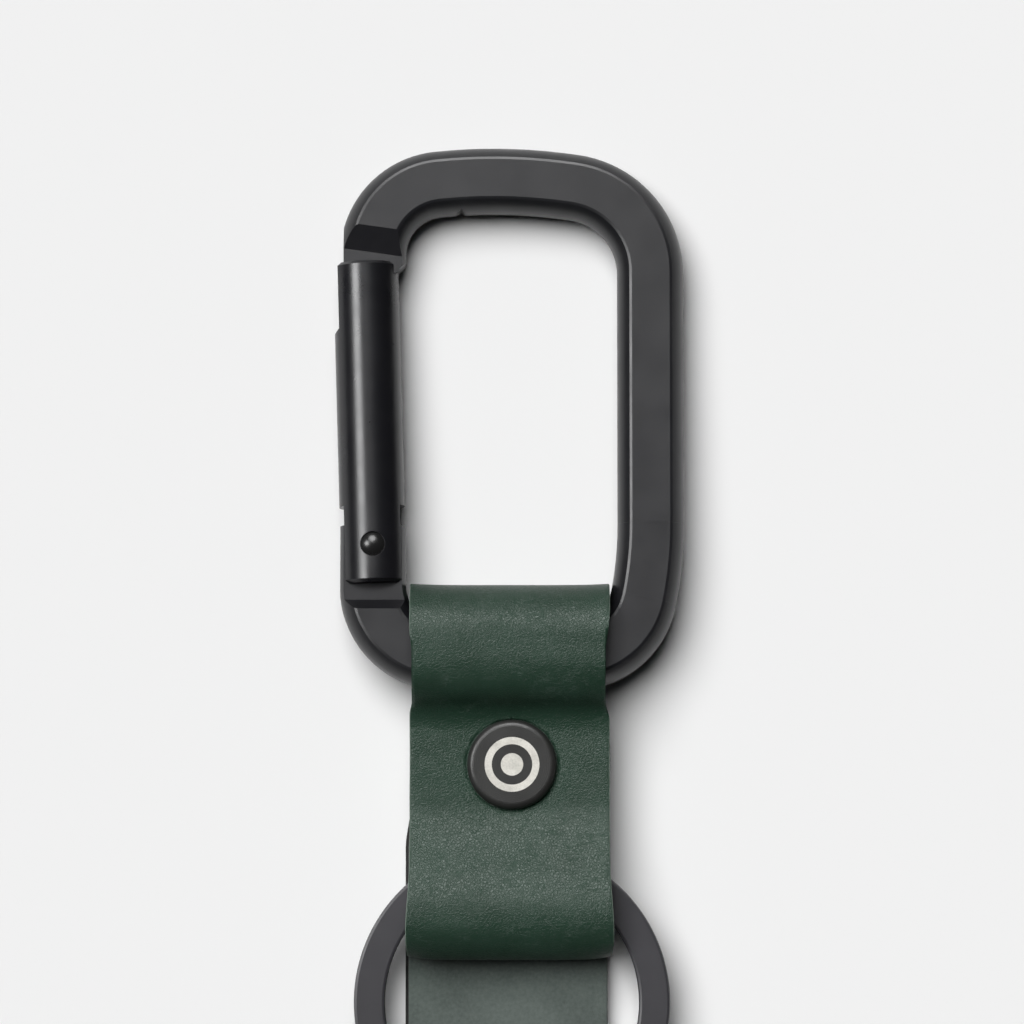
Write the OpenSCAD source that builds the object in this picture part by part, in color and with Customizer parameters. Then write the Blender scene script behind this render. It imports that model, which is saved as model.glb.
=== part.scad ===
// Leather key organiser: a gated carabiner in a screwed leather loop, which also
// holds a split key ring and a lined leather wrap for keys.
// It lies on its back. +Y runs towards the carabiner and +Z is the front.
// The origin is on the back, under the centre of the upper screw.

/* [Carabiner] */
// Diameter of the bar before its front and back are flattened
bar_d = 7.46; // [6.6:0.02:8.6]
// Thickness over the two flats of the bar
bar_t = 5.9; // [5:0.1:6.4]
// Distance between the centre lines of the gate side and the spine
frame_w = 31.05; // [29.5:0.05:37]
// Height from the bottom bar to the start of the top corner
frame_h = 43.2; // [38:0.1:56]
// Bend radius of the lower corner at the gate
lower_bend = 7.9; // [7.4:0.1:8.6]
// Bend radius of the lower corner at the spine
spine_bend = 8.1; // [7.6:0.1:8.6]
// Width of the small bevel around the flats
face_bevel = 0.22; // [0.1:0.02:0.35]
// Thickness of the tongues at the nose and at the hinge
tongue_t = 3.6; // [3:0.1:4]

/* [Gate] */
// Diameter of the gate barrel
gate_d = 7.34; // [6.6:0.02:7.6]
// Distance from the pin to the top end of the gate
gate_top = 32; // [30.5:0.1:33]
// Distance from the pin to the tail end of the gate
gate_tail = 4.2; // [3.8:0.1:4.6]
// Lean of the closed gate away from upright
gate_lean = 1.66; // [1:0.02:2]
// Slant of the nose tongue's end, which is the closed stop
nose_slant = 43; // [38:1:48]
// Diameter of the hinge pin
pin_d = 1.8; // [1.4:0.1:2.2]
// Diameter of the pin's domed heads
pin_head_d = 2.7; // [2.4:0.1:3.2]
// Diameter of the plunger that closes the gate
plunger_d = 2.4; // [2:0.1:2.8]
// Wire diameter of the gate spring
spring_wire = 0.34; // [0.25:0.01:0.42]
// Turns of the gate spring
spring_turns = 8; // [5:1:10]

/* [Loop strap] */
// Width of the loop strap
loop_w = 22.1; // [19:0.1:22.2]
// Thickness of the loop strap's leather
loop_t = 1.5; // [1.2:0.1:1.8]
// Distance from the screw to the top fold
loop_up = 20.1; // [19.8:0.1:21]
// Distance from the screw to the bottom fold
loop_down = 21.7; // [21.4:0.1:22.4]
// Room between the bar and the leather around it
bar_room = 0.67; // [0.55:0.01:0.9]
// Height inside the bottom fold
ring_room = 5.6; // [5.4:0.1:6.6]

/* [Key ring] */
// Outer diameter of the key ring
ring_od = 35.2; // [34:0.1:36]
// Inner diameter of the key ring
ring_id = 28.3; // [27.6:0.1:29]
// Thickness of one coil of the key ring
coil_t = 1.1; // [0.9:0.05:1.2]

/* [Key wrap] */
// Width of the key wrap
wrap_w = 22.6; // [18:0.1:27]
// Thickness of the wrap's leather
wrap_leather_t = 1.5; // [1.2:0.1:1.8]
// Thickness of the wrap's lining
wrap_lining_t = 0.9; // [0.8:0.05:1.1]
// Distance from the upper screw to the closed end of the wrap
wrap_length = 117.5; // [105:0.5:140]
// Distance from the upper screw to the key screw
key_y = 65; // [64:0.5:72]

/* [Screws and spacers] */
// Diameter of the screw heads
head_d = 10; // [8:0.1:11]
// Thickness of the screw heads
head_t = 1.2; // [1:0.05:1.6]
// Outer diameter of the barrel posts
post_d = 5; // [4.2:0.1:6]
// Diameter of the screw shanks
shank_d = 3; // [2:0.1:3.4]
// Thickness of the heads of the barrel posts
post_head_t = 0.6; // [0.5:0.05:0.7]
// Outer diameter of the washers and spacers
washer_d = 12; // [10:0.5:14]
// Thickness of each plate washer
washer_t = 0.5; // [0.4:0.1:0.8]
// Thickness of each spacer
spacer_t = 1; // [0.8:0.1:1.5]
// Number of spacers
spacer_n = 3; // [2:1:5]
// Free height of the dished spring washer
spring_washer_h = 0.4; // [0.3:0.05:0.6]

/* [Hidden] */
$fn = 96;
bend_step = 8;
eps = 0.01;

// Clearances: a running fit, a part beside a part, and a hole for a post
run_gap = 0.05;
stack_gap = 0.02;
stop_gap = 0.08;
side_gap = 0.1;

// Stack of layers under the upper screw, from the back
wrap_t = wrap_leather_t + wrap_lining_t;
lower_ply_z = wrap_t + loop_t / 2;
upper_ply_z = lower_ply_z + loop_t + stack_gap;
front_ply_z = upper_ply_z + loop_t + stack_gap;
front_top = front_ply_z + loop_t / 2;

// Upper loop: the leather's middle line runs round the bar at this radius
hug_r = bar_d / 2 + bar_room + loop_t / 2;
bar_y = 12;
bar_z = hug_r + loop_t / 2;
top_fold_y = loop_up - bar_z;
front_flat = 3.5;
back_flat = 5.5;

// Lower loop: the fold that holds the key ring
fold_r = ring_room / 2 + loop_t / 2;
fold_z = wrap_t + loop_t + ring_room / 2;
fold_y = -loop_down + fold_r + loop_t / 2;
swell_r = 6.5;
swell_y = -12.3;
swell_z = fold_z + fold_r - swell_r;

// Left and right edges of the loop strap
loop_x0 = -11.35;
loop_mid = loop_x0 + loop_w / 2;

// Carabiner frame: centre line of the gate side, and its bends
pin_x = -frame_w / 2;
pin_y = 24.4;
lead_turn = 11.5;
lead_bend = 42;
top_bend = 10;
top_turn = 81.3;
top_bow = 60;
top_bow_turn = 14.7;
nose_bend = 8.1;
nose_turn = 180 + gate_lean - top_turn - top_bow_turn;
bottom_straight = frame_w - lower_bend - lead_bend + (lead_bend - spine_bend) * cos(lead_turn);
spine_straight = frame_h - spine_bend - (lead_bend - spine_bend) * sin(lead_turn);
hinge_top = 2.24;
nose_reach = 8;
seam = 0.02;
seam_lap = 0.1;
core = 0.993;
frame_lean = atan((bar_z - gate_d / 2 - eps) / (pin_y + gate_top - bar_y));
flat_half = sqrt(pow(bar_d / 2, 2) - pow(bar_t / 2, 2));

// Steps from the full bar to the two tongues
hinge_step = 1.1;
hinge_ledge = 17.2;
nose_step = 2.8;
nose_ledge = 60.3;
nose_ledge_slant = 8;
nose_trim = 0.35;
slot_t = tongue_t + 0.2;
hinge_slot = 4.5;
nose_slot = 27.5;

// Gate bore with the plunger and its spring
bore_d = plunger_d + 2 * run_gap;
bore_end = 17.2;
plunger_tip = hinge_top + 0.03;
plunger_end = 9.3;
spigot_d = plunger_d - 2 * spring_wire - 0.5;
spigot_l = 1.7;
spring_d = plunger_d - spring_wire - 0.1;
spot_z = gate_d / 2 - 0.3;
pin_dome = 0.5;

// Key ring: it turns about an axis near its top edge and lies almost level
ring_y = -26.4;
ring_pivot_y = -9.3;
ring_pivot_z = wrap_t + loop_t + coil_t + 0.45;
ring_lean = 1.06;
ring_bevel = 0.32;
split_gap = 0.5;

// Key wrap: the front ply rises over the spacers
gap_h = 2 * washer_t + spacer_n * spacer_t + spring_washer_h;
wrap_rise = wrap_t + gap_h;
ramp_y = -38;
ramp_r = 16;
ramp_turn = acos(1 - wrap_rise / (2 * ramp_r));
ramp_end = ramp_y - 2 * ramp_r * sin(ramp_turn);
wrap_end = 6.4;
wrap_fold_r = wrap_rise / 2;
wrap_fold_y = -wrap_length + wrap_fold_r + wrap_t / 2;
wrap_x = -0.62;
back_end = -key_y + 8;
wrap_corner = 3;

// Emblem: a plain ring around a dot, let into the head
emblem_od = 6.1;
emblem_id = 4.5;
emblem_dot = 2.5;
emblem_t = 0.2;
head_rim = 0.75;
emblem_z = front_top + head_t - emblem_t;

// Radius of the arc that leads from an arc of radius r to a level line: it ends at a
// distance d along the line, and the line is e further out than the first arc's centre
function lead_r(d, e, r) = (d * d + e * e - r * r) / (2 * (r - e));

front_lead = lead_r(bar_y - front_flat, front_ply_z - bar_z, hug_r);
front_turn = atan2(bar_y - front_flat, front_ply_z - bar_z + front_lead);
back_lead = lead_r(bar_y - back_flat, bar_z - upper_ply_z, hug_r);
back_turn = atan2(bar_y - back_flat, bar_z - upper_ply_z + back_lead);
swell_lead = lead_r(-swell_y - front_flat, front_ply_z - swell_z, swell_r);
swell_turn = atan2(-swell_y - front_flat, front_ply_z - swell_z + swell_lead);

// Lays its first 2D section along a path of [length, 0] and [radius, turn] steps.
// The path starts along +Y, and a positive turn is to the left. A step of the seam's
// length is a hairline between two bends, bridged by the second, smaller section.
module run(steps, i = 0) {
    if (i < len(steps)) {
        size = steps[i][0];
        turn = steps[i][1];
        if (turn == 0) {
            lap = size == seam ? seam_lap : 0;
            translate([0, size + lap, 0])
                rotate([90, 0, 0])
                    linear_extrude(size + 2 * lap)
                        children(size == seam ? 1 : 0);
            translate([0, size, 0])
                run(steps, i + 1) {
                    children(0);
                    children(1);
                }
        } else {
            side = sign(turn);
            translate([-side * size, 0, 0]) {
                mirror([side < 0 ? 1 : 0, 0, 0])
                    rotate_extrude(angle = abs(turn))
                        translate([size, 0])
                            mirror([side < 0 ? 1 : 0, 0])
                                children(0);
                rotate([0, 0, turn])
                    translate([side * size, 0, 0])
                        run(steps, i + 1) {
                            children(0);
                            children(1);
                        }
            }
        }
    }
}

// Places and headings along a path of the same kind of steps, each as [x, y, heading]
function walk(steps, p = [0, 0], a = 180, i = 0) =
    i == len(steps) ? [[p.x, p.y, a]] :
    let (size = steps[i][0], turn = steps[i][1])
    turn == 0 ?
        concat([[p.x, p.y, a]], walk(steps, p + size * [cos(a), sin(a)], a, i + 1)) :
        let (
            r = sign(turn) * size,
            centre = p + r * [-sin(a), cos(a)],
            n = ceil(abs(turn) / bend_step),
            arc = [
                for (k = [0 : n])
                    let (b = a + turn * k / n)
                    concat(centre + r * [sin(b), -cos(b)], b)
            ]
        )
        concat(
            [for (k = [0 : n - 1]) arc[k]],
            walk(steps, [arc[n].x, arc[n].y], a + turn, i + 1)
        );

// Leather strip along a path in the YZ plane that starts towards -Y. It lies between
// x0 and x1 to the right of the path, is w wide, and is centred on x.
module strip(steps, start, x0, x1, w, x) {
    path = walk(steps, start);
    edge = [for (q = path) [q.x + x0 * sin(q[2]), q.y - x0 * cos(q[2])]];
    other = [for (q = path) [q.x + x1 * sin(q[2]), q.y - x1 * cos(q[2])]];
    translate([x, 0, 0])
        rotate([90, 0, 90])
            linear_extrude(w, center = true)
                polygon(concat(edge, [for (k = [len(other) - 1 : -1 : 0]) other[k]]));
}

// Puts what is drawn flat around the bottom bar at the height and lean of the carabiner
module on_bar() {
    translate([0, bar_y, bar_z])
        rotate([-frame_lean, 0, 0])
            translate([0, -bar_y, 0])
                children();
}

// Puts what is drawn around the pin, along +Y, at the place and lean of the gate
module on_pin() {
    on_bar()
        translate([pin_x, pin_y, 0])
            rotate([0, 0, gate_lean])
                children();
}

// Round bar with flats, and a small bevel along the edges of the flats, at a scale of k
module bar_section(k) {
    r = k * bar_d / 2;
    flat = k * flat_half;
    t = k * bar_t / 2;
    b = k * face_bevel;
    intersection() {
        circle(r = r);
        polygon([
            [2 * r, -t + b * 4], [flat + b * 0.7, -t + b * 0.45], [flat - b * 0.8, -t],
            [-flat + b * 0.8, -t], [-flat - b * 0.7, -t + b * 0.45], [-2 * r, -t + b * 4],
            [-2 * r, t - b * 4], [-flat - b * 0.7, t - b * 0.45], [-flat + b * 0.8, t],
            [flat - b * 0.8, t], [flat + b * 0.7, t - b * 0.45], [2 * r, t - b * 4]
        ]);
    }
}

// Cuts both faces down to the tongue beyond y = 0, with a slope of the given length
module tongue_cut(slope) {
    deep = bar_t;
    for (side = [-1, 1])
        scale_side(side)
            rotate([90, 0, 90])
                linear_extrude(2 * bar_d, center = true)
                    polygon([
                        [0, bar_t / 2], [slope, tongue_t / 2], [3 * bar_d, tongue_t / 2],
                        [3 * bar_d, deep], [0, deep]
                    ]);
}

module scale_side(side) {
    mirror([0, 0, side < 0 ? 1 : 0])
        children();
}

module carabiner_frame() {
    color([0.13, 0.13, 0.14])
        on_bar()
            difference() {
                translate([pin_x, pin_y + hinge_top, 0])
                    rotate([0, 0, 180])
                        run([
                            [pin_y + hinge_top - bar_y - lower_bend, 0],
                            [lower_bend, 90],
                            [bottom_straight, 0],
                            [spine_bend, 90 - lead_turn],
                            [seam, 0],
                            [lead_bend, lead_turn],
                            [seam, 0],
                            [spine_straight, 0],
                            [top_bend, top_turn],
                            [seam, 0],
                            [top_bow, top_bow_turn],
                            [seam, 0],
                            [nose_bend, nose_turn],
                            [seam, 0],
                            [nose_reach, 0]
                        ]) {
                            bar_section(1);
                            bar_section(core);
                        }
                // flat outer side of the hinge, flush with the gate
                translate([pin_x - gate_d / 2 - bar_d, pin_y - 6.5, -bar_d])
                    cube([bar_d, bar_d * 2, 2 * bar_d]);
                translate([pin_x + gate_d / 2, pin_y - 3, -bar_d])
                    cube([bar_d, bar_d * 2, 2 * bar_d]);
                // step to the hinge tongue
                translate([pin_x, hinge_ledge, 0])
                    tongue_cut(hinge_step);
                // hole for the pin
                translate([pin_x, pin_y, 0])
                    cylinder(d = pin_d + 2 * run_gap, h = 2 * bar_d, center = true);
                // flat outer side of the nose
                translate([pin_x - bar_d / 2 - bar_d + nose_trim, nose_ledge - 2 * bar_d, -bar_d])
                    cube([bar_d, 2 * bar_d + 0.6, 2 * bar_d]);
                // step to the nose tongue
                translate([pin_x, nose_ledge, 0])
                    rotate([0, 0, 180 - nose_ledge_slant])
                        tongue_cut(nose_step);
                // slanted end of the nose tongue
                translate([pin_x, pin_y, 0])
                    rotate([0, 0, gate_lean])
                        translate([0, nose_slot + stop_gap / cos(nose_slant), 0])
                            rotate([0, 0, nose_slant])
                                translate([-2 * bar_d, -2 * bar_d, -bar_d])
                                    cube([4 * bar_d, 2 * bar_d, 2 * bar_d]);
            }
}

module gate() {
    color([0.16, 0.16, 0.17])
        on_pin()
            difference() {
                translate([0, -gate_tail, 0])
                    rotate([-90, 0, 0])
                        gate_barrel(gate_top + gate_tail);
                // slot for the hinge tongue
                translate([-gate_d, -2 * gate_tail, -slot_t / 2])
                    cube([2 * gate_d, 2 * gate_tail + hinge_slot, slot_t]);
                // slot for the nose tongue, with a slanted floor
                translate([0, 0, -slot_t / 2])
                    linear_extrude(slot_t)
                        polygon([
                            [-gate_d, nose_slot - gate_d * tan(nose_slant)],
                            [gate_d, nose_slot + gate_d * tan(nose_slant)],
                            [gate_d, gate_top + gate_d], [-gate_d, gate_top + gate_d]
                        ]);
                // bore for the plunger and its spring
                translate([0, hinge_slot - 1, 0])
                    rotate([-90, 0, 0])
                        cylinder(d = bore_d, h = bore_end - hinge_slot + 1);
                // hole and seats for the pin
                cylinder(d = pin_d, h = 2 * gate_d, center = true);
                for (side = [-1, 1])
                    scale_side(side)
                        translate([0, 0, spot_z])
                            cylinder(d = pin_head_d + 2 * run_gap, h = gate_d);
            }
}

// Barrel with a small bevel at each end, standing on z = 0
module gate_barrel(length) {
    bevel = 0.35;
    r = gate_d / 2;
    rotate_extrude()
        polygon([
            [0, 0], [r - bevel, 0], [r, bevel], [r, length - bevel], [r - bevel, length],
            [0, length]
        ]);
}

module gate_pin() {
    dome_r = (pow(pin_head_d / 2, 2) + pow(pin_dome, 2)) / (2 * pin_dome);
    color([0.14, 0.14, 0.15])
        on_pin() {
            cylinder(d = pin_d, h = 2 * spot_z, center = true);
            for (side = [-1, 1])
                scale_side(side)
                    translate([0, 0, spot_z])
                        intersection() {
                            cylinder(d = pin_head_d, h = pin_dome);
                            translate([0, 0, pin_dome - dome_r])
                                sphere(r = dome_r);
                        }
        }
}

module gate_plunger() {
    color([0.6, 0.6, 0.58])
        on_pin()
            translate([0, plunger_tip, 0])
                rotate([-90, 0, 0]) {
                    cylinder(d = plunger_d, h = plunger_end - plunger_tip);
                    cylinder(d = spigot_d, h = plunger_end - plunger_tip + spigot_l);
                }
}

// Points of one ring of the spring's wire, at a part t of the way up
function wire_ring(t, sides) = [
    for (k = [0 : sides - 1])
        let (
            a = 360 * spring_turns * t,
            b = 360 * k / sides,
            r = spring_d / 2 + spring_wire / 2 * cos(b),
            rise = (bore_end - plunger_end - spring_wire - 0.06) * t + spring_wire / 2 + 0.03
        )
        [r * cos(a), r * sin(a), rise + spring_wire / 2 * sin(b)]
];

module gate_spring() {
    sides = 6;
    rings = spring_turns * 14;
    points = [for (i = [0 : rings]) each wire_ring(i / rings, sides)];
    walls = [
        for (i = [0 : rings - 1], k = [0 : sides - 1])
            let (n = (k + 1) % sides)
            [i * sides + k, i * sides + n, (i + 1) * sides + n, (i + 1) * sides + k]
    ];
    start = [[for (k = [sides - 1 : -1 : 0]) k]];
    end = [[for (k = [0 : sides - 1]) rings * sides + k]];
    color([0.7, 0.7, 0.7])
        on_pin()
            translate([0, plunger_end, 0])
                rotate([-90, 0, 0])
                    polyhedron(points, concat(start, walls, end), convexity = 8);
}

// Room that a curved end of the bottom bar needs in the loop as the carabiner swings
module swing_room(bend, x, side) {
    free = bend - bar_d / 2 - side_gap;
    a0 = 20;
    a1 = 75;
    translate([x, bar_y, bar_z])
        rotate([0, side * 90, 0])
            rotate_extrude()
                polygon(concat(
                    [[0, 2 * bar_d], [0, free * sin(a0)]],
                    [for (a = [a0 : 11 : a1]) [bend - free * cos(a), free * sin(a)]],
                    [[bend - free * cos(a1), 2 * bar_d]]
                ));
}

module loop_strap() {
    color([0.2, 0.27, 0.22])
        difference() {
            strip([
                    [back_flat - fold_y, 0],
                    [fold_r, -180],
                    [swell_y - fold_y, 0],
                    [swell_r, -swell_turn],
                    [swell_lead, swell_turn],
                    [2 * front_flat, 0],
                    [front_lead, front_turn],
                    [hug_r, -front_turn],
                    [top_fold_y - bar_y, 0],
                    [hug_r, -180],
                    [top_fold_y - bar_y, 0],
                    [hug_r, -back_turn],
                    [back_lead, back_turn],
                    [2 * back_flat, 0]
                ], [back_flat, lower_ply_z], -loop_t / 2, loop_t / 2, loop_w, loop_mid);
            // hole for the post, and the seat that the head presses into the leather
            cylinder(d = post_d + 2 * side_gap, h = 4 * bar_d, center = true);
            translate([0, 0, front_top])
                cylinder(d = head_d + 2 * side_gap, h = bar_d);
            swing_room(lower_bend, pin_x + lower_bend, -1);
            swing_room(spine_bend, pin_x + lower_bend + bottom_straight, 1);
        }
}

// Profile of a low head with a rounded rim, as radius and height
module head_profile() {
    r = head_d / 2;
    square([r - head_rim, head_t]);
    square([r, head_t - head_rim]);
    intersection() {
        translate([r - head_rim, head_t - head_rim])
            circle(r = head_rim);
        square([r, head_t]);
    }
}

// Screw with its head's underside at z = 0 and its shank pointing down
module head_screw(length) {
    rotate_extrude()
        head_profile();
    translate([0, 0, -length])
        cylinder(d = shank_d, h = length + eps);
}

// Barrel post with its flat head at the bottom, standing on z = 0
module barrel_post(length) {
    difference() {
        union() {
            cylinder(d = head_d, h = post_head_t);
            cylinder(d = post_d, h = length);
        }
        translate([0, 0, post_head_t + 0.3])
            cylinder(d = shank_d + 2 * run_gap, h = length);
    }
}

module emblem_shape(grow) {
    difference() {
        circle(d = emblem_od + grow);
        circle(d = emblem_id - grow);
    }
    circle(d = emblem_dot + grow);
}

module loop_screw() {
    color([0.12, 0.12, 0.12])
        difference() {
            translate([0, 0, front_top])
                head_screw(front_top - post_head_t - 0.6);
            translate([0, 0, emblem_z])
                linear_extrude(1)
                    emblem_shape(0);
        }
}

module loop_post() {
    color([0.12, 0.12, 0.12])
        barrel_post(front_top - 0.15);
}

module emblem() {
    color([0.85, 0.84, 0.78])
        translate([0, 0, emblem_z])
            linear_extrude(emblem_t)
                emblem_shape(0);
}

// Section of one flat coil of the key ring, with bevelled edges, standing on y = 0
module coil_section() {
    x0 = ring_id / 2;
    x1 = ring_od / 2;
    b = ring_bevel;
    polygon([
        [x0 + b, 0], [x1 - b, 0], [x1 - b * 0.3, b * 0.3], [x1, b], [x1, coil_t - b],
        [x1 - b * 0.3, coil_t - b * 0.3], [x1 - b, coil_t], [x0 + b, coil_t],
        [x0 + b * 0.3, coil_t - b * 0.3], [x0, coil_t - b], [x0, b], [x0 + b * 0.3, b * 0.3]
    ]);
}

module key_ring() {
    color([0.2, 0.2, 0.21])
        translate([0, ring_pivot_y, ring_pivot_z])
            rotate([ring_lean, 0, 0])
                translate([0, ring_y - ring_pivot_y, -coil_t])
                    difference() {
                        union() {
                            rotate_extrude()
                                coil_section();
                            translate([0, 0, coil_t - eps])
                                rotate_extrude()
                                    coil_section();
                        }
                        // the two ends of the wire
                        for (end = [[-72, coil_t], [-108, -coil_t]])
                            rotate([0, 0, end[0]])
                                translate([ring_id / 2 - 1, -split_gap / 2, end[1]])
                                    cube([ring_od - ring_id, split_gap, 2 * coil_t]);
                    }
}

// One layer of the wrap, from x0 to x1 across its thickness
module wrap_layer(x0, x1) {
    strip([
            [wrap_end - ramp_y, 0],
            [ramp_r, -ramp_turn],
            [ramp_r, ramp_turn],
            [ramp_end - wrap_fold_y, 0],
            [wrap_fold_r, 180],
            [back_end - wrap_fold_y, 0]
        ], [wrap_end, wrap_t / 2], x0, x1, wrap_w, wrap_x);
}

// Rounds both corners of the wrap's open end at the back
module back_corners() {
    for (side = [-1, 1])
        translate([wrap_x + side * wrap_w / 2, back_end, -1])
            difference() {
                translate([-wrap_corner, -wrap_corner, 0])
                    cube([2 * wrap_corner, 2 * wrap_corner, wrap_t + 1 + gap_h / 2]);
                translate([-side * wrap_corner, -wrap_corner, -1])
                    cylinder(r = wrap_corner, h = wrap_rise + 4);
            }
}

// Holes for the two posts, and the seats for their heads in the back
module wrap_holes() {
    for (y = [0, -key_y])
        translate([0, y, 0]) {
            cylinder(d = post_d + 2 * side_gap, h = 4 * wrap_rise, center = true);
            translate([0, 0, -1])
                cylinder(d = head_d + 2 * side_gap, h = post_head_t + 1);
        }
}

module wrap_leather() {
    color([0.42, 0.47, 0.43])
        difference() {
            wrap_layer(wrap_lining_t - wrap_t / 2, wrap_t / 2);
            back_corners();
            wrap_holes();
        }
}

module wrap_lining() {
    color([0.1, 0.1, 0.1])
        difference() {
            wrap_layer(-wrap_t / 2, wrap_lining_t - wrap_t / 2);
            back_corners();
            wrap_holes();
        }
}

module key_post() {
    color([0.12, 0.12, 0.12])
        translate([0, -key_y, 0])
            barrel_post(wrap_rise + wrap_t - 0.15);
}

module key_screw() {
    color([0.12, 0.12, 0.12])
        translate([0, -key_y, wrap_rise + wrap_t])
            head_screw(wrap_rise + wrap_t - post_head_t - 0.6);
}

// Flat ring around the key post, standing on z = 0
module disc(height) {
    difference() {
        cylinder(d = washer_d, h = height);
        translate([0, 0, -1])
            cylinder(d = post_d + 2 * run_gap, h = height + 2);
    }
}

module key_washers() {
    color([0.65, 0.65, 0.66])
        for (z = [wrap_t, wrap_rise - washer_t])
            translate([0, -key_y, z])
                disc(washer_t);
}

module key_spacers() {
    color([0.25, 0.25, 0.25])
        for (i = [0 : spacer_n - 1])
            translate([0, -key_y, wrap_t + washer_t + i * spacer_t])
                disc(spacer_t - stack_gap);
}

// Dished spring washer that presses on the top spacer
module spring_washer() {
    sheet = 0.2;
    dish = spring_washer_h - sheet;
    r0 = post_d / 2 + run_gap;
    r1 = washer_d / 2 - 0.5;
    color([0.7, 0.7, 0.72])
        translate([0, -key_y, wrap_rise - washer_t - spring_washer_h])
            rotate_extrude()
                polygon([[r0, dish], [r1, 0], [r1, sheet], [r0, dish + sheet]]);
}

carabiner_frame();
gate();
gate_pin();
gate_plunger();
gate_spring();
loop_strap();
loop_screw();
loop_post();
emblem();
key_ring();
wrap_leather();
wrap_lining();
key_post();
key_screw();
key_washers();
key_spacers();
spring_washer();
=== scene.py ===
# Leather key organiser: a gated carabiner in a screwed leather loop, with a split ring
# and a lined key wrap. The metal pieces are the model's own; the leather is made here.
import bpy
import math
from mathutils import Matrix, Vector


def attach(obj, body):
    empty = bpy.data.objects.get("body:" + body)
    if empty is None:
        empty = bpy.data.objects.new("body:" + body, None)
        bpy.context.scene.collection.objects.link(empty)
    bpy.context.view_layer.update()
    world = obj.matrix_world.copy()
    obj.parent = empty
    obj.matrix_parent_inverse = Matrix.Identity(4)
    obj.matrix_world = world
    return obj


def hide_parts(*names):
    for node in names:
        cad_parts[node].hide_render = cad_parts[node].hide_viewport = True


MM = 0.001

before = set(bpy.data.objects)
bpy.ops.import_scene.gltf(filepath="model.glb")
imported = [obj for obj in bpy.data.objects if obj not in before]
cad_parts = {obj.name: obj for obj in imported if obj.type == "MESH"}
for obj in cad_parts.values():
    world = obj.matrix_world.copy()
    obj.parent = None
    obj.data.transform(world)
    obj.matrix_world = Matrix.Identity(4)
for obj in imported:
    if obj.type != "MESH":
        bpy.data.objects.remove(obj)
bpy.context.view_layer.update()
scene = bpy.context.scene


# ---------------------------------------------------------------- sizes, in millimetres
# Carabiner: its bar, its width, and the bends on each side of the bottom bar
BAR_D = 7.46
BAR_ROOM = 0.67
BAR_Y = 12.0
FRAME_W = 31.05
LOWER_BEND = 7.9
SPINE_BEND = 8.1
LEAD_BEND = 42.0
LEAD_TURN = math.radians(11.5)

# Loop: its sheet, its reach on each side of the screw, and the room for the ring
LOOP_T = 1.5
LOOP_W = 22.3
LOOP_X = -0.25
LOOP_UP = 20.1
LOOP_DOWN = 21.7
RING_ROOM = 5.6
PLY_GAP = 0.02
SWELL_START = -4.0

# Wrap: its two layers, and its height where it folds back over the keys
WRAP_LEATHER_T = 1.5
WRAP_LINING_T = 0.9
WRAP_W = 22.6
WRAP_X = -0.62
WRAP_LENGTH = 117.5
WRAP_END = 6.4
WRAP_RISE = 6.8
NUBUCK_STEP = 0.34
KEY_Y = -65.0
BACK_END = -57.0

# Screws: the posts' holes, and the seats that the heads press into the leather
HOLE_ROOM = 0.2
HOLE_D = 5.0 + HOLE_ROOM
SEAT_D = 10.0 + HOLE_ROOM
POST_HEAD_T = 0.6
SEAT_REACH = 6.0
LOOP_CUT_PAST = 0.5
WRAP_CUT_PAST = 1.0

# Heights of the layers, at the middle of each
WRAP_T = WRAP_LEATHER_T + WRAP_LINING_T
LOWER_PLY = WRAP_T + LOOP_T / 2
UPPER_PLY = LOWER_PLY + LOOP_T + PLY_GAP
FRONT_PLY = UPPER_PLY + LOOP_T + PLY_GAP
FRONT_TOP = FRONT_PLY + LOOP_T / 2

# Top fold, around the bar, and bottom fold, around the ring
HUG_R = BAR_D / 2 + BAR_ROOM + LOOP_T / 2
BAR_Z = HUG_R + LOOP_T / 2
FOLD_R = RING_ROOM / 2 + LOOP_T / 2
FOLD_Y = -LOOP_DOWN + FOLD_R + LOOP_T / 2
FOLD_Z = WRAP_T + LOOP_T + RING_ROOM / 2
FOLD_TOP = FOLD_Z + FOLD_R

# Ends of the straight bottom bar, where its two bends start
GATE_CORNER_X = LOWER_BEND - FRAME_W / 2
SPINE_CORNER_X = round(
    FRAME_W / 2 - LEAD_BEND + (LEAD_BEND - SPINE_BEND) * math.cos(LEAD_TURN), 3)


# ---------------------------------------------------------------- paths of the leather
def lead_radius(along, rise, radius):
    """Radius of the arc that leads from an arc to a level line, so that both are tangent."""
    return (along ** 2 + rise ** 2 - radius ** 2) / (2 * (radius - rise))


def lead_angle(along, rise, lead):
    """Angle in degrees through which that arc turns."""
    return math.degrees(math.atan2(along, rise + lead))


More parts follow.
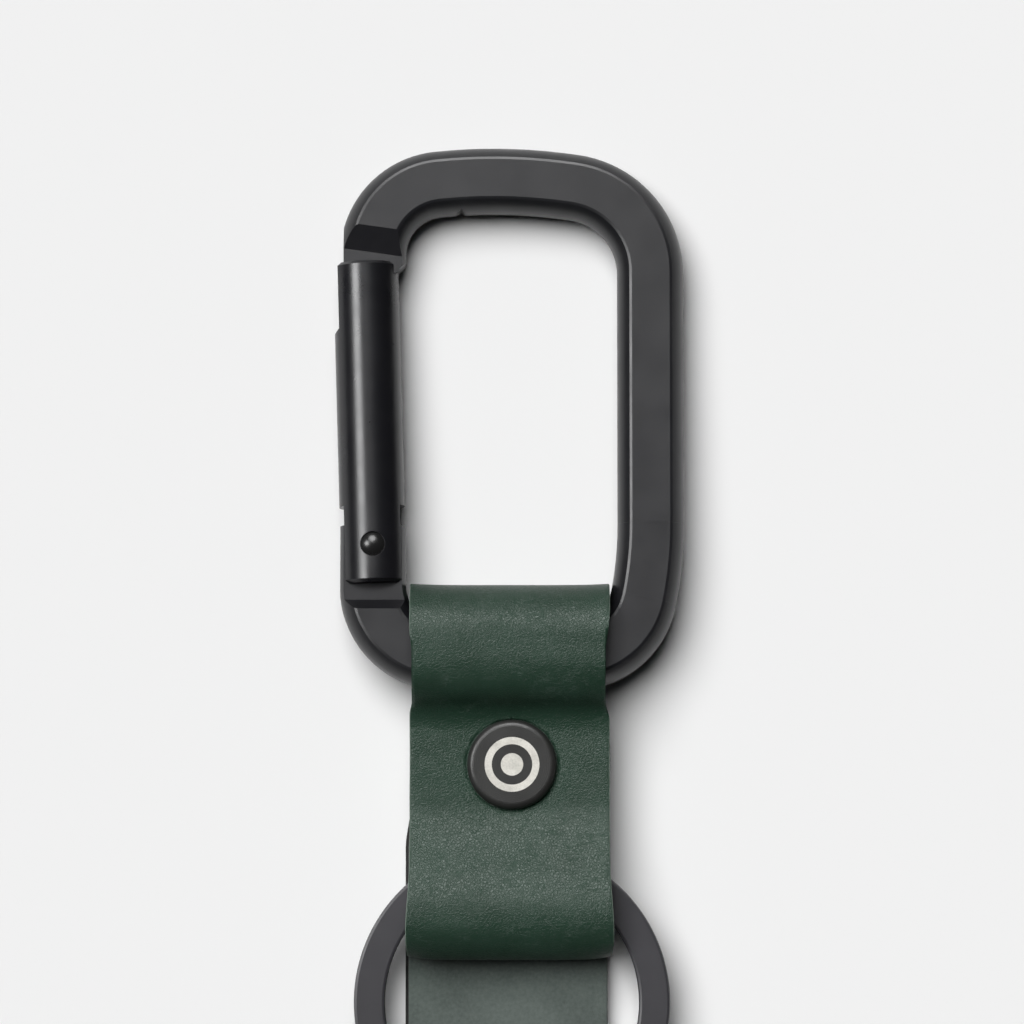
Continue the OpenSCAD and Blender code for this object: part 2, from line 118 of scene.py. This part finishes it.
def loop_path():
    """Start and steps of the loop's middle line: (length, 0) straight or (radius, turn)."""
    front_flat, back_flat = 3.5, 5.5
    swell_r, swell_y = 6.5, -12.3
    swell_z = FOLD_TOP - swell_r
    top_fold = LOOP_UP - BAR_Z - BAR_Y
    front = (BAR_Y - front_flat, FRONT_PLY - BAR_Z)
    back = (BAR_Y - back_flat, BAR_Z - UPPER_PLY)
    swell = (-swell_y - front_flat, FRONT_PLY - swell_z)
    front_lead = lead_radius(*front, HUG_R)
    back_lead = lead_radius(*back, HUG_R)
    swell_lead = lead_radius(*swell, swell_r)
    front_turn = lead_angle(*front, front_lead)
    back_turn = lead_angle(*back, back_lead)
    swell_turn = lead_angle(*swell, swell_lead)
    steps = [
        (back_flat - FOLD_Y, 0), (FOLD_R, -180), (swell_y - FOLD_Y, 0),
        (swell_r, -swell_turn), (swell_lead, swell_turn), (2 * front_flat, 0),
        (front_lead, front_turn), (HUG_R, -front_turn), (top_fold, 0), (HUG_R, -180),
        (top_fold, 0), (HUG_R, -back_turn), (back_lead, back_turn), (2 * back_flat, 0),
    ]
    return (back_flat, LOWER_PLY), steps


def wrap_path(offset):
    """The wrap's path, moved sideways to the middle of one of its two layers."""
    ramp_y, ramp_r = -38.0, 16.0
    ramp_turn = math.degrees(math.acos(1 - WRAP_RISE / (2 * ramp_r)))
    ramp_end = ramp_y - 2 * ramp_r * math.sin(math.radians(ramp_turn))
    fold_r = WRAP_RISE / 2
    fold_y = -WRAP_LENGTH + fold_r + WRAP_T / 2
    steps = [
        (WRAP_END - ramp_y, 0), (ramp_r - offset, -ramp_turn), (ramp_r + offset, ramp_turn),
        (ramp_end - fold_y, 0), (fold_r + offset, 180), (BACK_END - fold_y, 0),
    ]
    return (WRAP_END, WRAP_T / 2 + offset), steps


# ---------------------------------------------------------------- modelling helpers
def only(piece):
    """Selects one object and nothing else."""
    if bpy.context.object and bpy.context.object.mode != "OBJECT":
        bpy.ops.object.mode_set(mode="OBJECT")
    bpy.ops.object.select_all(action="DESELECT")
    piece.select_set(True)
    bpy.context.view_layer.objects.active = piece


def apply_modifier(piece, kind, **settings):
    """Adds one modifier with its settings and applies it."""
    only(piece)
    modifier = piece.modifiers.new(kind.title(), kind)
    for key, value in settings.items():
        setattr(modifier, key, value)
    bpy.ops.object.modifier_apply(modifier=modifier.name)


def at_origin(piece):
    """Moves a piece's place into its mesh."""
    only(piece)
    bpy.ops.object.transform_apply(location=True, rotation=True, scale=True)


def lay_strip(name, path, width, middle, columns, row=0.7, bend_step=6.0):
    """A strip of leather without thickness, run out from one edge along its path."""
    weld = 0.004
    (y, z), steps = path
    bpy.ops.object.select_all(action="DESELECT")
    bpy.ops.mesh.primitive_plane_add(
        size=width * MM, location=(middle * MM, (y + width / 2) * MM, z * MM))
    strip = bpy.context.object
    strip.name = strip.data.name = name
    at_origin(strip)
    far = (y + width / 2) * MM
    bpy.ops.object.mode_set(mode="EDIT")
    bpy.ops.mesh.select_mode(type="VERT")
    bpy.ops.mesh.select_all(action="DESELECT")
    bpy.ops.object.mode_set(mode="OBJECT")
    for vertex in strip.data.vertices:
        vertex.select = vertex.co.y > far
    bpy.ops.object.mode_set(mode="EDIT")
    bpy.ops.mesh.delete(type="VERT")
    bpy.ops.mesh.select_all(action="SELECT")
    bpy.ops.mesh.subdivide(number_cuts=columns - 1)
    heading = math.pi
    for size, turn in steps:
        if turn == 0:
            count = max(1, round(size / row))
            step = size / count
            move = (0, step * math.cos(heading) * MM, step * math.sin(heading) * MM)
            for _ in range(count):
                bpy.ops.mesh.extrude_region_move(TRANSFORM_OT_translate={"value": move})
            y += size * math.cos(heading)
            z += size * math.sin(heading)
            continue
        radius = math.copysign(size, turn)
        centre_y = y - radius * math.sin(heading)
        centre_z = z + radius * math.cos(heading)
        count = max(2, math.ceil(abs(turn) / bend_step))
        bpy.ops.mesh.spin(
            steps=count, angle=-math.radians(turn),
            center=(0, centre_y * MM, centre_z * MM), axis=(1, 0, 0))
        heading += math.radians(turn)
        y = centre_y + radius * math.sin(heading)
        z = centre_z - radius * math.cos(heading)
    bpy.ops.mesh.select_all(action="SELECT")
    bpy.ops.mesh.remove_doubles(threshold=weld * MM)
    bpy.ops.mesh.normals_make_consistent(inside=False)
    bpy.ops.object.mode_set(mode="OBJECT")
    return strip


def thicken(strip, thickness, round_off, face, edge):
    """Gives a strip its thickness, rounds its cut edges a little and shades it."""
    strip.data.materials.append(face)
    strip.data.materials.append(edge)
    apply_modifier(
        strip, "SOLIDIFY", thickness=thickness * MM, offset=0, use_even_offset=True,
        material_offset_rim=1)
    apply_modifier(
        strip, "BEVEL", width=round_off * MM, segments=3, limit_method="ANGLE",
        angle_limit=math.radians(50), material=-1)
    only(strip)
    bpy.ops.object.shade_smooth_by_angle(angle=math.radians(40))


def cut_away(piece, cutter):
    """Cuts one object out of another and deletes it."""
    apply_modifier(piece, "BOOLEAN", operation="DIFFERENCE", solver="EXACT", object=cutter)
    bpy.data.objects.remove(cutter, do_unlink=True)


def cut_hole(piece, diameter, y, low, high):
    """Cuts a round hole or seat about a screw's axis, from low to high."""
    bpy.ops.object.select_all(action="DESELECT")
    bpy.ops.mesh.primitive_cylinder_add(
        vertices=64, radius=diameter / 2 * MM, depth=(high - low) * MM,
        location=(0, y * MM, (low + high) / 2 * MM))
    cut_away(piece, bpy.context.object)


def clear_corner(piece, bend, x, side):
    """Cuts the room that a bent end of the bottom bar needs as the carabiner swings."""
    side_gap, rim, reach = 0.12, 1.0, 12.0
    centre = (x * MM, BAR_Y * MM, BAR_Z * MM)
    along_bar = (0, math.radians(90), 0)
    bpy.ops.object.select_all(action="DESELECT")
    bpy.ops.mesh.primitive_cylinder_add(
        vertices=96, radius=(bend - rim) * MM, depth=reach * MM, rotation=along_bar,
        location=((x + side * reach / 2) * MM, BAR_Y * MM, BAR_Z * MM))
    cutter = bpy.context.object
    bpy.ops.mesh.primitive_torus_add(
        major_segments=96, minor_segments=48, major_radius=bend * MM,
        minor_radius=(bend - BAR_D / 2 - side_gap) * MM, rotation=along_bar,
        location=centre)
    cut_away(cutter, bpy.context.object)
    cut_away(piece, cutter)


def smooth_step(low, high, value):
    """Runs smoothly from 0 at low to 1 at high. High may be the smaller of the two."""
    t = min(1.0, max(0.0, (value - low) / (high - low)))
    return t * t * (3 - 2 * t)


# ---------------------------------------------------------------- shader node groups
def socket_group(name, inputs, outputs):
    """A new node group with its named sockets, and its input and output nodes."""
    group = bpy.data.node_groups.new(name, "ShaderNodeTree")
    for label, kind, default in inputs:
        made = group.interface.new_socket(label, in_out="INPUT", socket_type=kind)
        if default is not None:
            made.default_value = default
    for label, kind in outputs:
        group.interface.new_socket(label, in_out="OUTPUT", socket_type=kind)
    nodes = group.nodes
    return group, nodes.new("NodeGroupInput"), nodes.new("NodeGroupOutput")


def math_node(tree, operation, a, b=None, clamp=False):
    """One sum, of sockets or numbers."""
    node = tree.nodes.new("ShaderNodeMath")
    node.operation = operation
    node.use_clamp = clamp
    for slot, value in enumerate((a, b)):
        if value is None:
            continue
        if hasattr(value, "links"):
            tree.links.new(value, node.inputs[slot])
        else:
            node.inputs[slot].default_value = value
    return node.outputs[0]


def range_node(tree, value, low, high, to_low=0.0, to_high=1.0):
    """Turns the range from low to high smoothly into another."""
    node = tree.nodes.new("ShaderNodeMapRange")
    node.interpolation_type = "SMOOTHSTEP"
    tree.links.new(value, node.inputs["Value"])
    for label, number in (
            ("From Min", low), ("From Max", high), ("To Min", to_low), ("To Max", to_high)):
        node.inputs[label].default_value = number
    return node.outputs["Result"]


def noise_node(tree, vector, scale, detail=3.0, roughness=0.5, stretch=None):
    """Noise at a scale given as a number or a socket, stretched if asked."""
    if stretch:
        mapping = tree.nodes.new("ShaderNodeMapping")
        mapping.inputs["Scale"].default_value = stretch
        tree.links.new(vector, mapping.inputs["Vector"])
        vector = mapping.outputs["Vector"]
    node = tree.nodes.new("ShaderNodeTexNoise")
    node.inputs["Detail"].default_value = detail
    node.inputs["Roughness"].default_value = roughness
    tree.links.new(vector, node.inputs["Vector"])
    if hasattr(scale, "links"):
        tree.links.new(scale, node.inputs["Scale"])
    else:
        node.inputs["Scale"].default_value = scale
    return node.outputs["Fac"]


def make_grain_group():
    """Pebbled leather grain: a height, and a mask that is 1 on top of the pebbles."""
    group, given, out = socket_group(
        "Leather grain",
        [("Vector", "NodeSocketVector", None), ("Pebbles per mm", "NodeSocketFloat", 2.4),
         ("Pore depth", "NodeSocketFloat", 0.6)],
        [("Height", "NodeSocketFloat"), ("Tops", "NodeSocketFloat")])
    cells = group.nodes.new("ShaderNodeTexVoronoi")
    cells.feature = "DISTANCE_TO_EDGE"
    group.links.new(given.outputs["Pebbles per mm"], cells.inputs["Scale"])
    warp = group.nodes.new("ShaderNodeVectorMath")
    warp.operation = "MULTIPLY_ADD"
    drift = group.nodes.new("ShaderNodeTexNoise")
    drift.inputs["Scale"].default_value = 1.4
    group.links.new(given.outputs["Vector"], drift.inputs["Vector"])
    group.links.new(drift.outputs["Color"], warp.inputs[0])
    warp.inputs[1].default_value = (0.5, 0.5, 0.5)
    group.links.new(given.outputs["Vector"], warp.inputs[2])
    group.links.new(warp.outputs["Vector"], cells.inputs["Vector"])
    tops = range_node(group, cells.outputs["Distance"], 0.0, 0.22)
    fine = noise_node(group, given.outputs["Vector"], 7.0, detail=4.0, roughness=0.6)
    pores = math_node(group, "MULTIPLY", fine, given.outputs["Pore depth"])
    group.links.new(math_node(group, "ADD", tops, pores), out.inputs["Height"])
    group.links.new(tops, out.inputs["Tops"])
    return group


def make_crease_group():
    """Short fine creases that run across the strap, as a height and a mask."""
    group, given, out = socket_group(
        "Leather creases",
        [("Vector", "NodeSocketVector", None), ("Amount", "NodeSocketFloat", 1.0)],
        [("Height", "NodeSocketFloat"), ("Mask", "NodeSocketFloat")])
    lines = noise_node(
        group, given.outputs["Vector"], 0.9, detail=5.0, roughness=0.55,
        stretch=(0.5, 1.5, 1.5))
    distance = math_node(group, "ABSOLUTE", math_node(group, "SUBTRACT", lines, 0.5))
    ridge = range_node(group, distance, 0.0, 0.02, 1.0, 0.0)
    where = range_node(
        group, noise_node(group, given.outputs["Vector"], 0.3, detail=2.0), 0.46, 0.62)
    mask = math_node(group, "MULTIPLY", ridge, where)
    mask = math_node(group, "MULTIPLY", mask, given.outputs["Amount"])
    group.links.new(math_node(group, "MULTIPLY", mask, -1.0), out.inputs["Height"])
    group.links.new(mask, out.inputs["Mask"])
    return group


def make_mottle_group():
    """Soft uneven tone: a colour between two, with fine speckle over broad patches."""
    group, given, out = socket_group(
        "Mottled tone",
        [("Vector", "NodeSocketVector", None), ("Dark", "NodeSocketColor", None),
         ("Light", "NodeSocketColor", None), ("Patch scale", "NodeSocketFloat", 0.2),
         ("Speckle scale", "NodeSocketFloat", 4.0), ("Speckle", "NodeSocketFloat", 0.4)],
        [("Color", "NodeSocketColor"), ("Value", "NodeSocketFloat")])
    broad = noise_node(group, given.outputs["Vector"], given.outputs["Patch scale"])
    speckle = noise_node(
        group, given.outputs["Vector"], given.outputs["Speckle scale"], detail=4.0,
        roughness=0.65)
    lift = math_node(group, "MULTIPLY", math_node(group, "SUBTRACT", speckle, 0.5),
                     given.outputs["Speckle"])
    value = math_node(group, "ADD", range_node(group, broad, 0.3, 0.7, 0.2, 0.8),
                      math_node(group, "MULTIPLY", lift, 3.0), clamp=True)
    mix = group.nodes.new("ShaderNodeMix")
    mix.data_type = "RGBA"
    group.links.new(value, mix.inputs["Factor"])
    group.links.new(given.outputs["Dark"], mix.inputs["A"])
    group.links.new(given.outputs["Light"], mix.inputs["B"])
    group.links.new(mix.outputs["Result"], out.inputs["Color"])
    group.links.new(value, out.inputs["Value"])
    return group


def make_blast_group():
    """Fine blasted and anodised metal: a height, and a small change of roughness."""
    group, given, out = socket_group(
        "Blasted metal",
        [("Vector", "NodeSocketVector", None), ("Beads per mm", "NodeSocketFloat", 9.0),
         ("Roughness", "NodeSocketFloat", 0.4), ("Smears", "NodeSocketFloat", 0.06)],
        [("Height", "NodeSocketFloat"), ("Roughness", "NodeSocketFloat")])
    beads = noise_node(
        group, given.outputs["Vector"], given.outputs["Beads per mm"], detail=2.0)
    smears = noise_node(group, given.outputs["Vector"], 0.25, detail=4.0, roughness=0.6)
    spread = math_node(group, "MULTIPLY", math_node(group, "SUBTRACT", smears, 0.5),
                       given.outputs["Smears"])
    group.links.new(beads, out.inputs["Height"])
    group.links.new(
        math_node(group, "ADD", given.outputs["Roughness"],
                  math_node(group, "MULTIPLY", spread, 4.0)), out.inputs["Roughness"])
    return group


GRAIN = make_grain_group()
CREASES = make_crease_group()
MOTTLE = make_mottle_group()
BLAST = make_blast_group()


# ---------------------------------------------------------------- materials
def start_material(name):
    """A material with its Principled shader and a vector in millimetres."""
    material = bpy.data.materials.new(name)
    material.use_nodes = True
    tree = material.node_tree
    shader = tree.nodes["Principled BSDF"]
    place = tree.nodes.new("ShaderNodeTexCoord")
    millimetres = tree.nodes.new("ShaderNodeMapping")
    millimetres.inputs["Scale"].default_value = (1 / MM, 1 / MM, 1 / MM)
    tree.links.new(place.outputs["Object"], millimetres.inputs["Vector"])
    return material, tree, shader, millimetres.outputs["Vector"]


def use_group(tree, group, vector, **values):
    """Places a shared group with this material's own values."""
    node = tree.nodes.new("ShaderNodeGroup")
    node.node_tree = group
    tree.links.new(vector, node.inputs["Vector"])
    for key, value in values.items():
        node.inputs[key.replace("_", " ")].default_value = value
    return node.outputs


def bump(tree, shader, height, distance):
    """Relief on the surface, where a height of 1 stands out by a distance in millimetres."""
    node = tree.nodes.new("ShaderNodeBump")
    node.inputs["Strength"].default_value = 1.0
    node.inputs["Distance"].default_value = distance * MM
    tree.links.new(height, node.inputs["Height"])
    tree.links.new(node.outputs["Normal"], shader.inputs["Normal"])


def shades(colour, dark, light):
    """A darker and a lighter shade of a colour, as the two ends of a mottled tone."""
    return {
        "Dark": tuple(dark * c for c in colour) + (1,),
        "Light": tuple(light * c for c in colour) + (1,),
    }


def green_leather(name):
    """Smooth dyed leather with a fine grain, which is glossier on top of its pebbles."""
    material, tree, shader, vector = start_material(name)
    tone = use_group(
        tree, MOTTLE, vector, Dark=(0.012, 0.034, 0.020, 1), Light=(0.020, 0.048, 0.031, 1),
        Patch_scale=0.16, Speckle_scale=5.0, Speckle=0.25)
    grain = use_group(tree, GRAIN, vector, Pebbles_per_mm=3.4, Pore_depth=1.1)
    creases = use_group(tree, CREASES, vector, Amount=1.0)
    mix = tree.nodes.new("ShaderNodeMix")
    mix.data_type = "RGBA"
    tree.links.new(math_node(tree, "MULTIPLY", creases["Mask"], 0.35), mix.inputs["Factor"])
    tree.links.new(tone["Color"], mix.inputs["A"])
    mix.inputs["B"].default_value = (0.07, 0.12, 0.09, 1)
    tree.links.new(mix.outputs["Result"], shader.inputs["Base Color"])
    rough = range_node(tree, grain["Tops"], 0.0, 1.0, 0.46, 0.35)
    shader.inputs["Specular IOR Level"].default_value = 0.36
    tree.links.new(rough, shader.inputs["Roughness"])
    height = math_node(tree, "ADD", grain["Height"],
                       math_node(tree, "MULTIPLY", creases["Height"], 0.8))
    bump(tree, shader, height, 0.024)
    return material


def cut_edge(name, colour, roughness):
    """The cut edge of a leather sheet."""
    material, tree, shader, vector = start_material(name)
    tone = use_group(
        tree, MOTTLE, vector, Patch_scale=0.5, Speckle_scale=6.0, Speckle=0.5,
        **shades(colour, 0.7, 1.0))
    tree.links.new(tone["Color"], shader.inputs["Base Color"])
    tree.links.new(range_node(tree, tone["Value"], 0, 1, roughness + 0.1, roughness - 0.1),
                   shader.inputs["Roughness"])
    bump(tree, shader, tone["Value"], 0.03)
    return material


def nubuck(name):
    """Brushed leather with a soft nap."""
    material, tree, shader, vector = start_material(name)
    tone = use_group(
        tree, MOTTLE, vector, Dark=(0.060, 0.076, 0.068, 1), Light=(0.106, 0.129, 0.117, 1),
        Patch_scale=0.12, Speckle_scale=2.6, Speckle=0.55)
    tree.links.new(tone["Color"], shader.inputs["Base Color"])
    shader.inputs["Roughness"].default_value = 0.88
    shader.inputs["Sheen Weight"].default_value = 0.15
    shader.inputs["Sheen Roughness"].default_value = 0.5
    nap = noise_node(tree, vector, 8.0, roughness=0.7)
    bump(tree, shader, nap, 0.05)
    return material


def split_leather(name):
    """The rough black lining."""
    material, tree, shader, vector = start_material(name)
    tone = use_group(
        tree, MOTTLE, vector, Dark=(0.008, 0.008, 0.008, 1), Light=(0.022, 0.022, 0.021, 1),
        Patch_scale=0.3, Speckle_scale=4.0, Speckle=0.6)
    tree.links.new(tone["Color"], shader.inputs["Base Color"])
    shader.inputs["Roughness"].default_value = 0.8
    bump(tree, shader, noise_node(tree, vector, 5.0, detail=5.0, roughness=0.7), 0.06)
    return material


def blasted_metal(name, colour, roughness, metallic, depth, beads=9.0):
    """Blasted and anodised metal, or moulded plastic, with relief of the given depth."""
    material, tree, shader, vector = start_material(name)
    surface = use_group(
        tree, BLAST, vector, Beads_per_mm=beads, Roughness=roughness, Smears=0.05)
    tone = use_group(
        tree, MOTTLE, vector, Patch_scale=0.1, Speckle_scale=3.0, Speckle=0.15,
        **shades(colour, 0.85, 1.12))
    tree.links.new(tone["Color"], shader.inputs["Base Color"])
    tree.links.new(surface["Roughness"], shader.inputs["Roughness"])
    shader.inputs["Metallic"].default_value = metallic
    bump(tree, shader, surface["Height"], depth)
    return material


def turned_metal(name, colour, roughness, axis_y, metallic=0.0):
    """Metal faced on a lathe: faint rings about a screw's axis."""
    material, tree, shader, vector = start_material(name)
    centre = tree.nodes.new("ShaderNodeMapping")
    centre.inputs["Location"].default_value = (0, -axis_y, 0)
    tree.links.new(vector, centre.inputs["Vector"])
    rings = tree.nodes.new("ShaderNodeTexWave")
    rings.wave_type = "RINGS"
    rings.rings_direction = "Z"
    rings.inputs["Scale"].default_value = 1.6
    rings.inputs["Distortion"].default_value = 0.8
    rings.inputs["Detail"].default_value = 3.0
    tree.links.new(centre.outputs["Vector"], rings.inputs["Vector"])
    surface = use_group(
        tree, BLAST, vector, Beads_per_mm=7.0, Roughness=roughness, Smears=0.06)
    tone = use_group(
        tree, MOTTLE, vector, Patch_scale=0.3, Speckle_scale=4.0, Speckle=0.2,
        **shades(colour, 0.8, 1.15))
    tree.links.new(tone["Color"], shader.inputs["Base Color"])
    tree.links.new(surface["Roughness"], shader.inputs["Roughness"])
    shader.inputs["Metallic"].default_value = metallic
    height = math_node(tree, "ADD", math_node(tree, "MULTIPLY", rings.outputs["Fac"], 0.25),
                       surface["Height"])
    bump(tree, shader, height, 0.012)
    return material


def ivory_fill(name):
    """The pale filling of the mark in the screw's head."""
    material, tree, shader, vector = start_material(name)
    tone = use_group(
        tree, MOTTLE, vector, Dark=(0.52, 0.51, 0.46, 1), Light=(0.76, 0.74, 0.68, 1),
        Patch_scale=0.8, Speckle_scale=5.0, Speckle=0.5)
    tree.links.new(tone["Color"], shader.inputs["Base Color"])
    shader.inputs["Roughness"].default_value = 0.45
    bump(tree, shader, tone["Value"], 0.02)
    return material


BLACK_STEEL = (0.020, 0.020, 0.019)
FINISHES = {
    "carabiner_frame": blasted_metal("Anodised frame", (0.009, 0.009, 0.011), 0.36, 0.0, 0.006),
    "gate": blasted_metal("Anodised gate", (0.008, 0.008, 0.010), 0.30, 0.0, 0.004),
    "gate_pin": blasted_metal("Blackened pin", (0.012, 0.012, 0.012), 0.25, 0.0, 0.003),
    "gate_plunger": blasted_metal("Plain steel", (0.55, 0.55, 0.53), 0.3, 1.0, 0.004),
    "gate_spring": blasted_metal("Spring wire", (0.6, 0.6, 0.6), 0.25, 1.0, 0.002),
    "loop_screw": turned_metal("Blackened screw", BLACK_STEEL, 0.40, 0.0),
    "loop_post": turned_metal("Blackened post", BLACK_STEEL, 0.40, 0.0),
    "emblem": ivory_fill("Ivory fill"),
    "key_ring": blasted_metal("Coated ring", (0.038, 0.037, 0.042), 0.40, 0.0, 0.006, 7.0),
    "key_post": turned_metal("Blackened key post", BLACK_STEEL, 0.40, KEY_Y),
    "key_screw": turned_metal("Blackened key screw", BLACK_STEEL, 0.40, KEY_Y),
    "key_washers": turned_metal("Plate washers", (0.5, 0.5, 0.5), 0.35, KEY_Y, 1.0),
    "key_spacers": blasted_metal("Spacer plastic", (0.04, 0.04, 0.04), 0.55, 0.0, 0.01, 5.0),
    "spring_washer": turned_metal("Dished washer", (0.55, 0.55, 0.56), 0.3, KEY_Y, 1.0),
}
for node, finish in FINISHES.items():
    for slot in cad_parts[node].material_slots:
        slot.material = finish


# ---------------------------------------------------------------- leather loop
def swell_over_ring(y, z):
    """Raises the front ply in one smooth rise to the bottom fold, and flattens the fold."""
    flat_from, flat_run, flattening = -13.0, 8.7, 1.3
    if z > FRONT_PLY - 0.05 and FOLD_Y <= y < SWELL_START:
        z = FRONT_PLY + (FOLD_TOP - FRONT_PLY) * smooth_step(SWELL_START, FOLD_Y, y)
    if y < flat_from and z > FOLD_Z:
        z -= flattening * ((flat_from - y) / flat_run) ** 2 * (z - FOLD_Z) / FOLD_R
    return z


def round_folds(x, y):
    """Widens the loop a little over the ring, and rounds the corners of both folds."""
    flare_width, tuck_width, bottom_round, top_round = 0.42, 0.30, 0.45, 0.16
    side = (x - LOOP_X) / (LOOP_W / 2)
    flare = smooth_step(-11.0, -18.5, y)
    tuck = smooth_step(-19.0, -21.2, y)
    x += side * (flare_width * flare - tuck_width * tuck)
    y += bottom_round * abs(side) ** 7 * tuck
    y += top_round * abs(side) ** 5 * smooth_step(17.5, 19.5, y)
    return x, y


def ripple(x, y, z):
    """Slow waves over the front of the loop, and a slight lift to the right of the screw."""
    height, lift, face = 0.035, 0.35, FRONT_PLY - 0.2
    if z > face:
        wave = math.sin(1.3 * y + 0.9 * x) * math.sin(0.5 * y - 0.7 * x)
        z += height * wave * smooth_step(5.6, 8.5, math.hypot(x, y))
    if z > face and -12 < y < 10:
        around = smooth_step(-12, -6, y) * (1 - smooth_step(4, 10, y))
        z += height * max(0.0, x - 2.0) ** 1.5 * around * lift
    return z


def shape_loop(strip):
    """Gives the loop's sheet the shape that it takes around the ring, the bar and the screw."""
    for vertex in strip.data.vertices:
        x, y, z = (c / MM for c in vertex.co)
        z = swell_over_ring(y, z)
        x, y = round_folds(x, y)
        z = ripple(x, y, z)
        vertex.co = (x * MM, y * MM, z * MM)


LEATHER = green_leather("Green leather")
LEATHER_EDGE = cut_edge("Green cut edge", (0.16, 0.215, 0.175), 0.7)
loop = lay_strip("loop_leather", loop_path(), LOOP_W, LOOP_X, columns=34)
shape_loop(loop)
thicken(loop, LOOP_T, 0.16, LEATHER, LEATHER_EDGE)
cut_hole(loop, HOLE_D, 0, WRAP_T - LOOP_CUT_PAST, FRONT_TOP + LOOP_CUT_PAST)
cut_hole(loop, SEAT_D, 0, FRONT_TOP, FRONT_TOP + SEAT_REACH)
clear_corner(loop, LOWER_BEND, GATE_CORNER_X, -1)
clear_corner(loop, SPINE_BEND, SPINE_CORNER_X, 1)
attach(loop, "organiser")
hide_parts("loop_strap")


# ---------------------------------------------------------------- key wrap
def narrow_end(strip):
    """Draws the wrap's upper end in under the loop, and rounds its open end at the back."""
    half, corner, drawn_in = WRAP_W / 2, 3.0, 0.55
    for vertex in strip.data.vertices:
        x, y, z = (c / MM for c in vertex.co)
        x += drawn_in * smooth_step(-9.0, -4.5, y) * max(0.0, (WRAP_X - x) / half)
        inside = half - abs(x - WRAP_X)
        depth = BACK_END - y
        if z < WRAP_T and 0 <= depth < corner and inside < corner:
            round_off = corner - math.sqrt(corner ** 2 - (corner - max(0.0, inside)) ** 2)
            y -= round_off * (1 - depth / corner)
        vertex.co = (x * MM, y * MM, z * MM)


NUBUCK = nubuck("Grey green nubuck")
EDGE_PAINT = cut_edge("Black edge paint", (0.02, 0.02, 0.02), 0.5)
LINING = split_leather("Black lining")
wrap = lay_strip(
    "wrap_nubuck", wrap_path(WRAP_LINING_T / 2), WRAP_W - NUBUCK_STEP,
    WRAP_X + NUBUCK_STEP / 2, columns=28, row=0.9)
narrow_end(wrap)
thicken(wrap, WRAP_LEATHER_T, 0.22, NUBUCK, EDGE_PAINT)
lining = lay_strip(
    "wrap_black_lining", wrap_path(-WRAP_LEATHER_T / 2), WRAP_W, WRAP_X, columns=28, row=0.9)
narrow_end(lining)
thicken(lining, WRAP_LINING_T, 0.12, LINING, EDGE_PAINT)
for layer, node, finish in (
        (wrap, "wrap_leather", "grey_green_nubuck"), (lining, "wrap_lining", "black_lining")):
    for screw_y in (0, KEY_Y):
        cut_hole(layer, HOLE_D, screw_y, -WRAP_CUT_PAST, WRAP_RISE + WRAP_T + WRAP_CUT_PAST)
        cut_hole(layer, SEAT_D, screw_y, -WRAP_CUT_PAST, POST_HEAD_T)
    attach(layer, "organiser")
    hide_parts(node)


# ---------------------------------------------------------------- floor, light and camera
def pale_floor():
    """A plain matt floor, a hair below the object."""
    bpy.ops.object.select_all(action="DESELECT")
    bpy.ops.mesh.primitive_plane_add(size=6, location=(0, 0, -0.0001))
    floor = bpy.context.object
    floor.name = "floor"
    material = bpy.data.materials.new("Pale floor")
    material.use_nodes = True
    shader = material.node_tree.nodes["Principled BSDF"]
    shader.inputs["Base Color"].default_value = (0.86, 0.86, 0.86, 1)
    shader.inputs["Roughness"].default_value = 0.9
    shader.inputs["Specular IOR Level"].default_value = 0.1
    floor.data.materials.append(material)


def soft_light(name, towards, energy, angle, diffuse=True, gloss=True):
    """A wide light from one direction, for the soft light, for the gloss or for both."""
    data = bpy.data.lights.new(name, "SUN")
    data.energy = energy
    data.angle = math.radians(angle)
    lamp = bpy.data.objects.new(name, data)
    lamp.rotation_euler = Vector(towards).to_track_quat("Z", "Y").to_euler()
    lamp.visible_diffuse = diffuse
    lamp.visible_glossy = gloss
    scene.collection.objects.link(lamp)


def studio():
    """A large soft light overhead to the upper left, strips for the gloss, a dim room."""
    soft_light("overhead light", (-0.27, 0.35, 0.90), 3.55, 46, gloss=False)
    soft_light("overhead gloss", (-0.20, 0.40, 0.89), 0.12, 44, diffuse=False)
    soft_light("left strip", (-0.60, 0.16, 0.78), 2.0, 24, diffuse=False)
    soft_light("top strip", (-0.05, 0.66, 0.75), 3.0, 38, diffuse=False)
    world = bpy.data.worlds.new("Studio")
    world.use_nodes = True
    tree = world.node_tree
    place = tree.nodes.new("ShaderNodeTexCoord")
    split = tree.nodes.new("ShaderNodeSeparateXYZ")
    tree.links.new(place.outputs["Generated"], split.inputs["Vector"])
    glow = range_node(tree, split.outputs["Z"], 0.35, 1.0, 0.10, 0.14)
    tree.links.new(glow, tree.nodes["Background"].inputs["Strength"])
    scene.world = world
    scene.view_settings.view_transform = "Standard"


def add_camera():
    """Above the middle of the whole object, tilted towards the carabiner."""
    height, stand_y, aim_y = 0.73, -0.0228, 0.0287
    sensor, view_width = 36, 0.11543
    data = bpy.data.cameras.new("camera")
    camera = bpy.data.objects.new("camera", data)
    camera.location = (0, stand_y, height)
    aim = Vector((0, aim_y, 0)) - camera.location
    camera.rotation_euler = aim.to_track_quat("-Z", "Y").to_euler()
    data.sensor_width = sensor
    data.lens = sensor * aim.length / view_width
    data.clip_start = 0.01
    scene.collection.objects.link(camera)
    scene.camera = camera


pale_floor()
studio()
add_camera()
